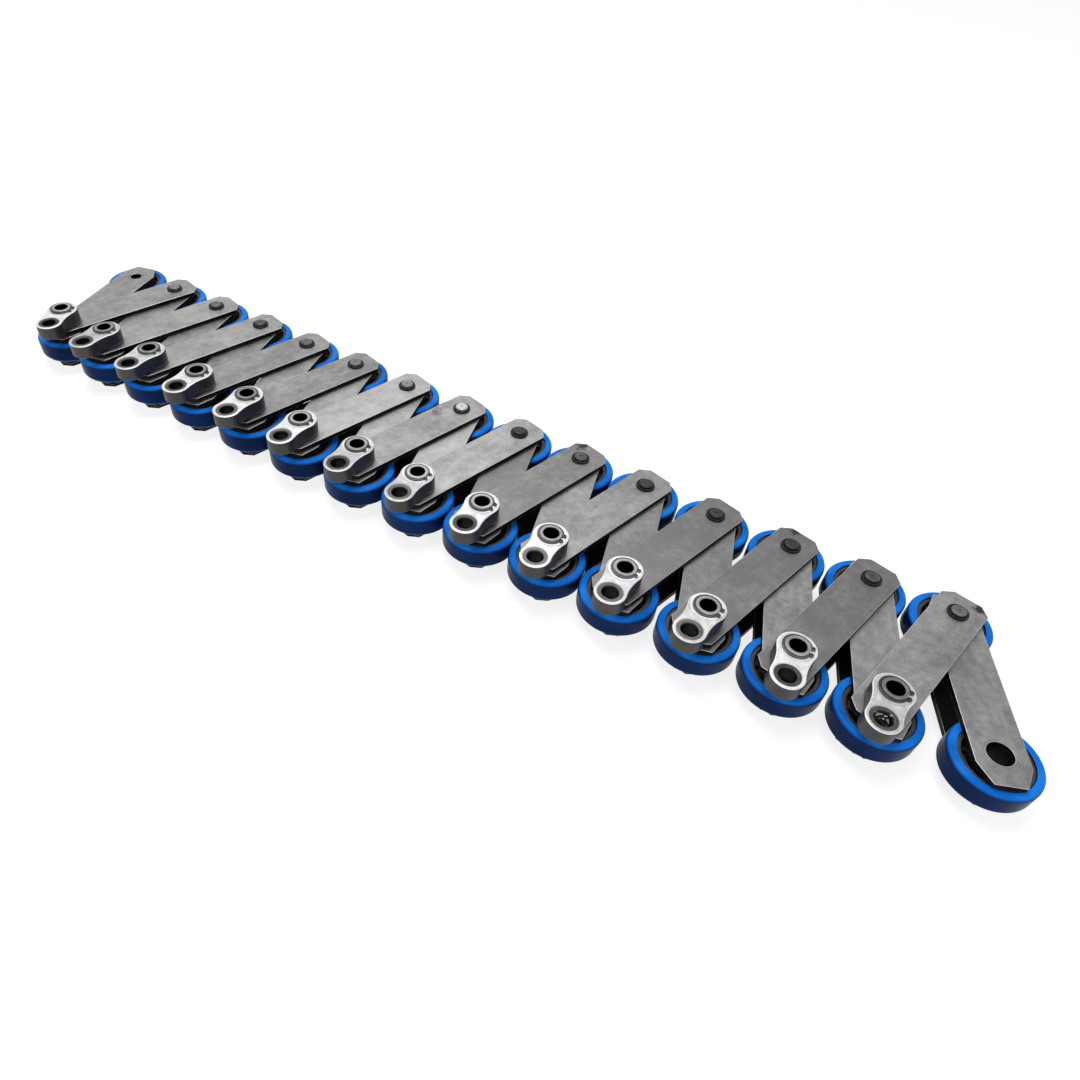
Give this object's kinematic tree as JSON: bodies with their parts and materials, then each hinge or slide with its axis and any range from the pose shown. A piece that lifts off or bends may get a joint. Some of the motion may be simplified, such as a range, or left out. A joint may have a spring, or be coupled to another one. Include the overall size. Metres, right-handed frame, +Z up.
{
  "type": "pallet chain",
  "caption": "Folded length of moving-walk pallet chain: chamfered steel link plates, hollow pins with pallet brackets, and blue-tyred rollers on bushes.",
  "frame": {"origin": "under the middle of the folded length, on the surface that it lies on", "axes": "+X along the folded rows to the loose end, +Y to the back row, +Z up along the pins"},
  "size_m": [1.1184, 0.2117, 0.0641],
  "materials": {
    "inner_steel": "rolled flat bar, sawn and chamfered",
    "outer_steel": "rolled flat bar with machined brackets",
    "roller_tyre": "glossy cast polyurethane tyre on a black moulded hub"
  },
  "bodies": {
    "inner_link_01": {"inner_link_01": "inner_steel"},
    "inner_link_02": {"inner_link_02": "inner_steel"},
    "inner_link_03": {"inner_link_03": "inner_steel"},
    "inner_link_04": {"inner_link_04": "inner_steel"},
    "inner_link_05": {"inner_link_05": "inner_steel"},
    "inner_link_06": {"inner_link_06": "inner_steel"},
    "inner_link_07": {"inner_link_07": "inner_steel"},
    "inner_link_08": {"inner_link_08": "inner_steel"},
    "inner_link_09": {"inner_link_09": "inner_steel"},
    "inner_link_10": {"inner_link_10": "inner_steel"},
    "inner_link_11": {"inner_link_11": "inner_steel"},
    "inner_link_12": {"inner_link_12": "inner_steel"},
    "inner_link_13": {"inner_link_13": "inner_steel"},
    "inner_link_14": {"inner_link_14": "inner_steel"},
    "inner_link_15": {"inner_link_15": "inner_steel"},
    "outer_link_01": {"outer_link_01": "outer_steel"},
    "outer_link_02": {"outer_link_02": "outer_steel"},
    "outer_link_03": {"outer_link_03": "outer_steel"},
    "outer_link_04": {"outer_link_04": "outer_steel"},
    "outer_link_05": {"outer_link_05": "outer_steel"},
    "outer_link_06": {"outer_link_06": "outer_steel"},
    "outer_link_07": {"outer_link_07": "outer_steel"},
    "outer_link_08": {"outer_link_08": "outer_steel"},
    "outer_link_09": {"outer_link_09": "outer_steel"},
    "outer_link_10": {"outer_link_10": "outer_steel"},
    "outer_link_11": {"outer_link_11": "outer_steel"},
    "outer_link_12": {"outer_link_12": "outer_steel"},
    "outer_link_13": {"outer_link_13": "outer_steel"},
    "outer_link_14": {"outer_link_14": "outer_steel"},
    "roller_back_01": {"roller_back_01": "roller_tyre"},
    "roller_back_02": {"roller_back_02": "roller_tyre"},
    "roller_back_03": {"roller_back_03": "roller_tyre"},
    "roller_back_04": {"roller_back_04": "roller_tyre"},
    "roller_back_05": {"roller_back_05": "roller_tyre"},
    "roller_back_06": {"roller_back_06": "roller_tyre"},
    "roller_back_07": {"roller_back_07": "roller_tyre"},
    "roller_back_08": {"roller_back_08": "roller_tyre"},
    "roller_back_09": {"roller_back_09": "roller_tyre"},
    "roller_back_10": {"roller_back_10": "roller_tyre"},
    "roller_back_11": {"roller_back_11": "roller_tyre"},
    "roller_back_12": {"roller_back_12": "roller_tyre"},
    "roller_back_13": {"roller_back_13": "roller_tyre"},
    "roller_back_14": {"roller_back_14": "roller_tyre"},
    "roller_back_15": {"roller_back_15": "roller_tyre"},
    "roller_front_01": {"roller_front_01": "roller_tyre"},
    "roller_front_02": {"roller_front_02": "roller_tyre"},
    "roller_front_03": {"roller_front_03": "roller_tyre"},
    "roller_front_04": {"roller_front_04": "roller_tyre"},
    "roller_front_05": {"roller_front_05": "roller_tyre"},
    "roller_front_06": {"roller_front_06": "roller_tyre"},
    "roller_front_07": {"roller_front_07": "roller_tyre"},
    "roller_front_08": {"roller_front_08": "roller_tyre"},
    "roller_front_09": {"roller_front_09": "roller_tyre"},
    "roller_front_10": {"roller_front_10": "roller_tyre"},
    "roller_front_11": {"roller_front_11": "roller_tyre"},
    "roller_front_12": {"roller_front_12": "roller_tyre"},
    "roller_front_13": {"roller_front_13": "roller_tyre"},
    "roller_front_14": {"roller_front_14": "roller_tyre"},
    "roller_front_15": {"roller_front_15": "roller_tyre"}
  },
  "joints": [
    {"name": "back_pin_02", "type": "hinge", "parent": "inner_link_02", "child": "outer_link_01", "pos_m": [-0.45343, 0.06647, 0.02405], "axis": [0, 0, -1], "range_deg": [0, 100]},
    {"name": "back_pin_03", "type": "hinge", "parent": "inner_link_03", "child": "outer_link_02", "pos_m": [-0.38263, 0.06647, 0.02405], "axis": [0, 0, -1], "range_deg": [0, 100]},
    {"name": "back_pin_04", "type": "hinge", "parent": "inner_link_04", "child": "outer_link_03", "pos_m": [-0.31183, 0.06647, 0.02405], "axis": [0, 0, -1], "range_deg": [0, 100]},
    {"name": "back_pin_05", "type": "hinge", "parent": "inner_link_05", "child": "outer_link_04", "pos_m": [-0.24103, 0.06647, 0.02405], "axis": [0, 0, -1], "range_deg": [0, 100]},
    {"name": "back_pin_06", "type": "hinge", "parent": "inner_link_06", "child": "outer_link_05", "pos_m": [-0.17023, 0.06647, 0.02405], "axis": [0, 0, -1], "range_deg": [0, 100]},
    {"name": "back_pin_07", "type": "hinge", "parent": "inner_link_07", "child": "outer_link_06", "pos_m": [-0.09943, 0.06647, 0.02405], "axis": [0, 0, -1], "range_deg": [0, 100]},
    {"name": "back_pin_08", "type": "hinge", "parent": "inner_link_08", "child": "outer_link_07", "pos_m": [-0.02863, 0.06647, 0.02405], "axis": [0, 0, -1], "range_deg": [0, 100]},
    {"name": "back_pin_09", "type": "hinge", "parent": "outer_link_08", "child": "inner_link_09", "pos_m": [0.04217, 0.06647, 0.02405], "axis": [0, 0, 1], "range_deg": [0, 100]},
    {"name": "back_pin_10", "type": "hinge", "parent": "outer_link_09", "child": "inner_link_10", "pos_m": [0.11297, 0.06647, 0.02405], "axis": [0, 0, 1], "range_deg": [0, 100]},
    {"name": "back_pin_11", "type": "hinge", "parent": "outer_link_10", "child": "inner_link_11", "pos_m": [0.18377, 0.06647, 0.02405], "axis": [0, 0, 1], "range_deg": [0, 100]},
    {"name": "back_pin_12", "type": "hinge", "parent": "outer_link_11", "child": "inner_link_12", "pos_m": [0.25569, 0.06615, 0.02405], "axis": [0, 0, 1], "range_deg": [0, 100]},
    {"name": "back_pin_13", "type": "hinge", "parent": "outer_link_12", "child": "inner_link_13", "pos_m": [0.32761, 0.06678, 0.02405], "axis": [0, 0, 1], "range_deg": [0, 100]},
    {"name": "back_pin_14", "type": "hinge", "parent": "outer_link_13", "child": "inner_link_14", "pos_m": [0.39951, 0.06835, 0.02405], "axis": [0, 0, 1], "range_deg": [0, 100]},
    {"name": "back_pin_15", "type": "hinge", "parent": "outer_link_14", "child": "inner_link_15", "pos_m": [0.47139, 0.07086, 0.02405], "axis": [0, 0, 1], "range_deg": [0, 100]},
    {"name": "front_pin_01", "type": "hinge", "parent": "outer_link_01", "child": "inner_link_01", "pos_m": [-0.48883, -0.06208, 0.02405], "axis": [0, 0, 1], "range_deg": [0, 100]},
    {"name": "front_pin_02", "type": "hinge", "parent": "outer_link_02", "child": "inner_link_02", "pos_m": [-0.41803, -0.06208, 0.02405], "axis": [0, 0, 1], "range_deg": [0, 100]},
    {"name": "front_pin_03", "type": "hinge", "parent": "outer_link_03", "child": "inner_link_03", "pos_m": [-0.34723, -0.06208, 0.02405], "axis": [0, 0, 1], "range_deg": [0, 100]},
    {"name": "front_pin_04", "type": "hinge", "parent": "outer_link_04", "child": "inner_link_04", "pos_m": [-0.27643, -0.06208, 0.02405], "axis": [0, 0, 1], "range_deg": [0, 100]},
    {"name": "front_pin_05", "type": "hinge", "parent": "outer_link_05", "child": "inner_link_05", "pos_m": [-0.20563, -0.06208, 0.02405], "axis": [0, 0, 1], "range_deg": [0, 100]},
    {"name": "front_pin_06", "type": "hinge", "parent": "outer_link_06", "child": "inner_link_06", "pos_m": [-0.13483, -0.06208, 0.02405], "axis": [0, 0, 1], "range_deg": [0, 100]},
    {"name": "front_pin_07", "type": "hinge", "parent": "outer_link_07", "child": "inner_link_07", "pos_m": [-0.06403, -0.06208, 0.02405], "axis": [0, 0, 1], "range_deg": [0, 100]},
    {"name": "front_pin_08", "type": "hinge", "parent": "inner_link_08", "child": "outer_link_08", "pos_m": [0.00677, -0.06208, 0.02405], "axis": [0, 0, -1], "range_deg": [0, 100]},
    {"name": "front_pin_09", "type": "hinge", "parent": "inner_link_09", "child": "outer_link_09", "pos_m": [0.07757, -0.06208, 0.02405], "axis": [0, 0, -1], "range_deg": [0, 100]},
    {"name": "front_pin_10", "type": "hinge", "parent": "inner_link_10", "child": "outer_link_10", "pos_m": [0.14837, -0.06208, 0.02405], "axis": [0, 0, -1], "range_deg": [0, 100]},
    {"name": "front_pin_11", "type": "hinge", "parent": "inner_link_11", "child": "outer_link_11", "pos_m": [0.21917, -0.06208, 0.02405], "axis": [0, 0, -1], "range_deg": [0, 100]},
    {"name": "front_pin_12", "type": "hinge", "parent": "inner_link_12", "child": "outer_link_12", "pos_m": [0.29277, -0.06192, 0.02405], "axis": [0, 0, -1], "range_deg": [0, 100]},
    {"name": "front_pin_13", "type": "hinge", "parent": "inner_link_13", "child": "outer_link_13", "pos_m": [0.36636, -0.06079, 0.02405], "axis": [0, 0, -1], "range_deg": [0, 100]},
    {"name": "front_pin_14", "type": "hinge", "parent": "inner_link_14", "child": "outer_link_14", "pos_m": [0.43993, -0.05871, 0.02405], "axis": [0, 0, -1], "range_deg": [0, 100]},
    {"name": "spin_back_01", "type": "hinge", "parent": "inner_link_01", "child": "roller_back_01", "pos_m": [-0.52423, 0.06647, 0.02405], "axis": [0, 0, 1], "continuous": true},
    {"name": "spin_front_01", "type": "hinge", "parent": "inner_link_01", "child": "roller_front_01", "pos_m": [-0.48883, -0.06208, 0.02405], "axis": [0, 0, 1], "continuous": true},
    {"name": "spin_back_02", "type": "hinge", "parent": "inner_link_02", "child": "roller_back_02", "pos_m": [-0.45343, 0.06647, 0.02405], "axis": [0, 0, 1], "continuous": true},
    {"name": "spin_front_02", "type": "hinge", "parent": "inner_link_02", "child": "roller_front_02", "pos_m": [-0.41803, -0.06208, 0.02405], "axis": [0, 0, 1], "continuous": true},
    {"name": "spin_back_03", "type": "hinge", "parent": "inner_link_03", "child": "roller_back_03", "pos_m": [-0.38263, 0.06647, 0.02405], "axis": [0, 0, 1], "continuous": true},
    {"name": "spin_front_03", "type": "hinge", "parent": "inner_link_03", "child": "roller_front_03", "pos_m": [-0.34723, -0.06208, 0.02405], "axis": [0, 0, 1], "continuous": true},
    {"name": "spin_back_04", "type": "hinge", "parent": "inner_link_04", "child": "roller_back_04", "pos_m": [-0.31183, 0.06647, 0.02405], "axis": [0, 0, 1], "continuous": true},
    {"name": "spin_front_04", "type": "hinge", "parent": "inner_link_04", "child": "roller_front_04", "pos_m": [-0.27643, -0.06208, 0.02405], "axis": [0, 0, 1], "continuous": true},
    {"name": "spin_back_05", "type": "hinge", "parent": "inner_link_05", "child": "roller_back_05", "pos_m": [-0.24103, 0.06647, 0.02405], "axis": [0, 0, 1], "continuous": true},
    {"name": "spin_front_05", "type": "hinge", "parent": "inner_link_05", "child": "roller_front_05", "pos_m": [-0.20563, -0.06208, 0.02405], "axis": [0, 0, 1], "continuous": true},
    {"name": "spin_back_06", "type": "hinge", "parent": "inner_link_06", "child": "roller_back_06", "pos_m": [-0.17023, 0.06647, 0.02405], "axis": [0, 0, 1], "continuous": true},
    {"name": "spin_front_06", "type": "hinge", "parent": "inner_link_06", "child": "roller_front_06", "pos_m": [-0.13483, -0.06208, 0.02405], "axis": [0, 0, 1], "continuous": true},
    {"name": "spin_back_07", "type": "hinge", "parent": "inner_link_07", "child": "roller_back_07", "pos_m": [-0.09943, 0.06647, 0.02405], "axis": [0, 0, 1], "continuous": true},
    {"name": "spin_front_07", "type": "hinge", "parent": "inner_link_07", "child": "roller_front_07", "pos_m": [-0.06403, -0.06208, 0.02405], "axis": [0, 0, 1], "continuous": true},
    {"name": "spin_back_08", "type": "hinge", "parent": "inner_link_08", "child": "roller_back_08", "pos_m": [-0.02863, 0.06647, 0.02405], "axis": [0, 0, 1], "continuous": true},
    {"name": "spin_front_08", "type": "hinge", "parent": "inner_link_08", "child": "roller_front_08", "pos_m": [0.00677, -0.06208, 0.02405], "axis": [0, 0, 1], "continuous": true},
    {"name": "spin_back_09", "type": "hinge", "parent": "inner_link_09", "child": "roller_back_09", "pos_m": [0.04217, 0.06647, 0.02405], "axis": [0, 0, 1], "continuous": true},
    {"name": "spin_front_09", "type": "hinge", "parent": "inner_link_09", "child": "roller_front_09", "pos_m": [0.07757, -0.06208, 0.02405], "axis": [0, 0, 1], "continuous": true},
    {"name": "spin_back_10", "type": "hinge", "parent": "inner_link_10", "child": "roller_back_10", "pos_m": [0.11297, 0.06647, 0.02405], "axis": [0, 0, 1], "continuous": true},
    {"name": "spin_front_10", "type": "hinge", "parent": "inner_link_10", "child": "roller_front_10", "pos_m": [0.14837, -0.06208, 0.02405], "axis": [0, 0, 1], "continuous": true},
    {"name": "spin_back_11", "type": "hinge", "parent": "inner_link_11", "child": "roller_back_11", "pos_m": [0.18377, 0.06647, 0.02405], "axis": [0, 0, 1], "continuous": true},
    {"name": "spin_front_11", "type": "hinge", "parent": "inner_link_11", "child": "roller_front_11", "pos_m": [0.21917, -0.06208, 0.02405], "axis": [0, 0, 1], "continuous": true},
    {"name": "spin_back_12", "type": "hinge", "parent": "inner_link_12", "child": "roller_back_12", "pos_m": [0.25569, 0.06615, 0.02405], "axis": [0, 0, 1], "continuous": true},
    {"name": "spin_front_12", "type": "hinge", "parent": "inner_link_12", "child": "roller_front_12", "pos_m": [0.29277, -0.06192, 0.02405], "axis": [0, 0, 1], "continuous": true},
    {"name": "spin_back_13", "type": "hinge", "parent": "inner_link_13", "child": "roller_back_13", "pos_m": [0.32761, 0.06678, 0.02405], "axis": [0, 0, 1], "continuous": true},
    {"name": "spin_front_13", "type": "hinge", "parent": "inner_link_13", "child": "roller_front_13", "pos_m": [0.36636, -0.06079, 0.02405], "axis": [0, 0, 1], "continuous": true},
    {"name": "spin_back_14", "type": "hinge", "parent": "inner_link_14", "child": "roller_back_14", "pos_m": [0.39951, 0.06835, 0.02405], "axis": [0, 0, 1], "continuous": true},
    {"name": "spin_front_14", "type": "hinge", "parent": "inner_link_14", "child": "roller_front_14", "pos_m": [0.43993, -0.05871, 0.02405], "axis": [0, 0, 1], "continuous": true},
    {"name": "spin_back_15", "type": "hinge", "parent": "inner_link_15", "child": "roller_back_15", "pos_m": [0.47139, 0.07086, 0.02405], "axis": [0, 0, 1], "continuous": true},
    {"name": "spin_front_15", "type": "hinge", "parent": "inner_link_15", "child": "roller_front_15", "pos_m": [0.52423, -0.05155, 0.02405], "axis": [0, 0, 1], "continuous": true}
  ]
}
